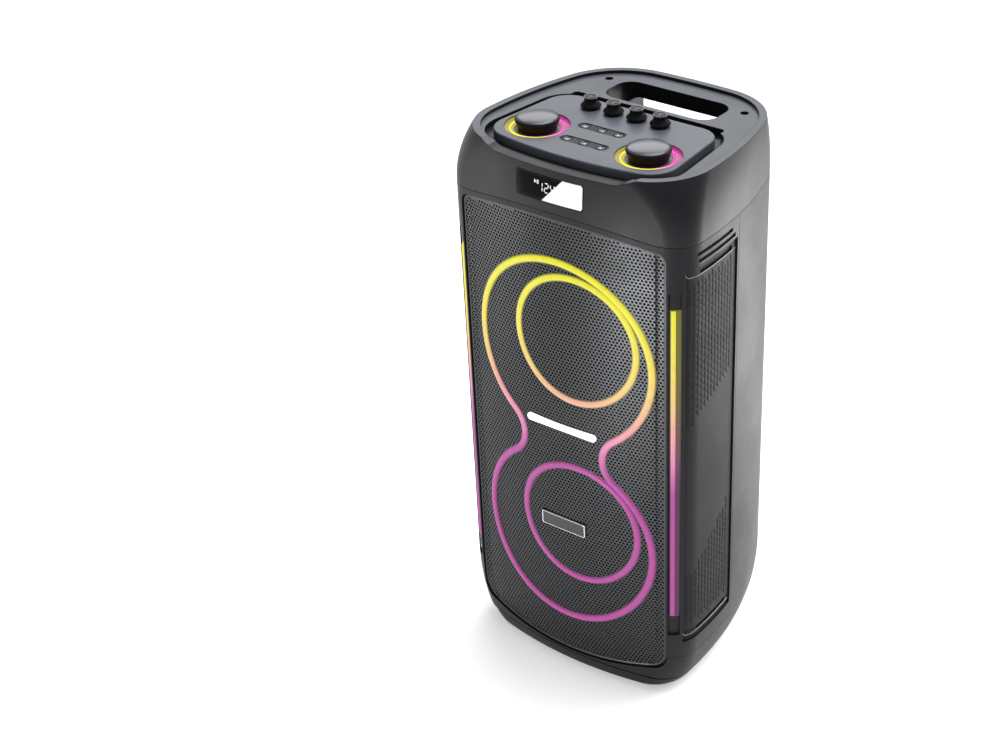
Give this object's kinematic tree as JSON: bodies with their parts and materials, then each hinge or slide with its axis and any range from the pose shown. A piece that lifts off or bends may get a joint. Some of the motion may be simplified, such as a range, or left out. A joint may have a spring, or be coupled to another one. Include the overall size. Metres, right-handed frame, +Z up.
{
  "type": "party speaker",
  "caption": "Tall free-standing party speaker with a bowed perforated front, light loops and corner light bars, a knob and button deck and a carrying handle on top.",
  "frame": {"origin": "centre of the footprint on the floor, under the middle of the bounding box", "axes": "+Z up, the front faces -Y, +X is to the right of a viewer who faces the front"},
  "size_m": [0.33, 0.295, 0.698],
  "materials": {
    "body_plastic": "fine spark-eroded texture",
    "cap_plastic": "satin moulded",
    "insert_plastic": "embossed diamond pattern",
    "panel_plastic": "satin, blue grey",
    "grille_metal": "powder coated perforated sheet",
    "board_wood": "fibre board, black stain",
    "light_diffuser": "milky diffuser, lit yellow at the top to magenta below",
    "light_white": "milky diffuser, lit white",
    "display_glass": "black window, white digits behind it",
    "badge_metal": "plain plate, no lettering",
    "knob_satin": "satin",
    "knob_black": "black, half gloss",
    "button_plastic": "satin",
    "rubber_black": "matt",
    "cone_paper": "pressed paper",
    "frame_steel": "pressed steel, painted",
    "plate_black": "fine texture",
    "socket_black": "moulded",
    "socket_metal": "nickel plated",
    "circuit_board": "green solder mask",
    "battery_case": "shrink wrap",
    "screw_steel": "blackened steel"
  },
  "bodies": {
    "cabinet": {"front_frame": "body_plastic", "rear_shell": "body_plastic", "top_cap": "cap_plastic", "control_panel": "panel_plastic", "base_moulding": "body_plastic", "foot_plinth": "body_plastic", "front_grille": "grille_metal", "baffle_board": "board_wood", "loop_light": "light_diffuser", "strobe_light": "light_white", "badge_plate": "badge_metal", "display_window": "display_glass", "control_board": "circuit_board", "side_insert_left": "insert_plastic", "light_bar_left": "light_diffuser", "knob_light_left": "light_diffuser", "encoder_left": "socket_black", "foot_front_left": "rubber_black", "foot_rear_left": "rubber_black", "side_insert_right": "insert_plastic", "light_bar_right": "light_diffuser", "knob_light_right": "light_diffuser", "encoder_right": "socket_black", "foot_front_right": "rubber_black", "foot_rear_right": "rubber_black", "small_pot_1": "socket_black", "small_pot_2": "socket_black", "small_pot_3": "socket_black", "small_pot_4": "socket_black", "ring_light_lower": "light_diffuser", "woofer_basket_lower": "frame_steel", "woofer_surround_lower": "rubber_black", "ring_light_upper": "light_diffuser", "woofer_basket_upper": "frame_steel", "woofer_surround_upper": "rubber_black", "connector_plate": "plate_black", "mic_jack_1": "socket_metal", "mic_jack_2": "socket_metal", "aux_jack": "socket_metal", "power_inlet": "socket_black", "switch_housing": "socket_black", "amplifier_board": "circuit_board", "battery_pack": "battery_case", "bass_port": "socket_black", "case_screws": "screw_steel"},
    "large_knob_left": {"large_knob_left": "knob_satin"},
    "large_knob_right": {"large_knob_right": "knob_satin"},
    "small_knob_1": {"small_knob_1": "knob_black"},
    "small_knob_2": {"small_knob_2": "knob_black"},
    "small_knob_3": {"small_knob_3": "knob_black"},
    "small_knob_4": {"small_knob_4": "knob_black"},
    "push_button_1": {"push_button_1": "button_plastic"},
    "push_button_2": {"push_button_2": "button_plastic"},
    "push_button_3": {"push_button_3": "button_plastic"},
    "push_button_4": {"push_button_4": "button_plastic"},
    "push_button_5": {"push_button_5": "button_plastic"},
    "push_button_6": {"push_button_6": "button_plastic"},
    "switch_rocker": {"switch_rocker": "button_plastic"},
    "woofer_cone_lower": {"woofer_cone_lower": "cone_paper"},
    "woofer_cone_upper": {"woofer_cone_upper": "cone_paper"}
  },
  "joints": [
    {"name": "large_knob_left_turn", "type": "hinge", "parent": "cabinet", "child": "large_knob_left", "pos_m": [-0.076, -0.064, 0.69], "axis": [0, 0, 1], "continuous": true},
    {"name": "large_knob_right_turn", "type": "hinge", "parent": "cabinet", "child": "large_knob_right", "pos_m": [0.076, -0.064, 0.69], "axis": [0, 0, 1], "continuous": true},
    {"name": "small_knob_1_turn", "type": "hinge", "parent": "cabinet", "child": "small_knob_1", "pos_m": [-0.055, 0.009, 0.69], "axis": [0, 0, 1], "range_deg": [-145, 145]},
    {"name": "small_knob_2_turn", "type": "hinge", "parent": "cabinet", "child": "small_knob_2", "pos_m": [-0.023, 0.009, 0.69], "axis": [0, 0, 1], "range_deg": [-145, 145]},
    {"name": "small_knob_3_turn", "type": "hinge", "parent": "cabinet", "child": "small_knob_3", "pos_m": [0.009, 0.009, 0.69], "axis": [0, 0, 1], "range_deg": [-145, 145]},
    {"name": "small_knob_4_turn", "type": "hinge", "parent": "cabinet", "child": "small_knob_4", "pos_m": [0.041, 0.009, 0.69], "axis": [0, 0, 1], "range_deg": [-145, 145]},
    {"name": "push_button_1_press", "type": "slide", "parent": "cabinet", "child": "push_button_1", "axis": [0, 0, -1], "range_m": [0, 0.0012], "stiffness_N_per_m": 800, "springref_m": -0.0006},
    {"name": "push_button_2_press", "type": "slide", "parent": "cabinet", "child": "push_button_2", "axis": [0, 0, -1], "range_m": [0, 0.0012], "stiffness_N_per_m": 800, "springref_m": -0.0006},
    {"name": "push_button_3_press", "type": "slide", "parent": "cabinet", "child": "push_button_3", "axis": [0, 0, -1], "range_m": [0, 0.0012], "stiffness_N_per_m": 800, "springref_m": -0.0006},
    {"name": "push_button_4_press", "type": "slide", "parent": "cabinet", "child": "push_button_4", "axis": [0, 0, -1], "range_m": [0, 0.0012], "stiffness_N_per_m": 800, "springref_m": -0.0006},
    {"name": "push_button_5_press", "type": "slide", "parent": "cabinet", "child": "push_button_5", "axis": [0, 0, -1], "range_m": [0, 0.0012], "stiffness_N_per_m": 800, "springref_m": -0.0006},
    {"name": "push_button_6_press", "type": "slide", "parent": "cabinet", "child": "push_button_6", "axis": [0, 0, -1], "range_m": [0, 0.0012], "stiffness_N_per_m": 800, "springref_m": -0.0006},
    {"name": "power_switch_tip", "type": "hinge", "parent": "cabinet", "child": "switch_rocker", "pos_m": [-0.046, 0.139, 0.408], "axis": [0, 0, -1], "range_deg": [0, 16]},
    {"name": "woofer_cone_lower_travel", "type": "slide", "parent": "cabinet", "child": "woofer_cone_lower", "axis": [0, -1, 0], "range_m": [-0.003, 0.003], "stiffness_N_per_m": 2500},
    {"name": "woofer_cone_upper_travel", "type": "slide", "parent": "cabinet", "child": "woofer_cone_upper", "axis": [0, -1, 0], "range_m": [-0.003, 0.003], "stiffness_N_per_m": 2500}
  ]
}
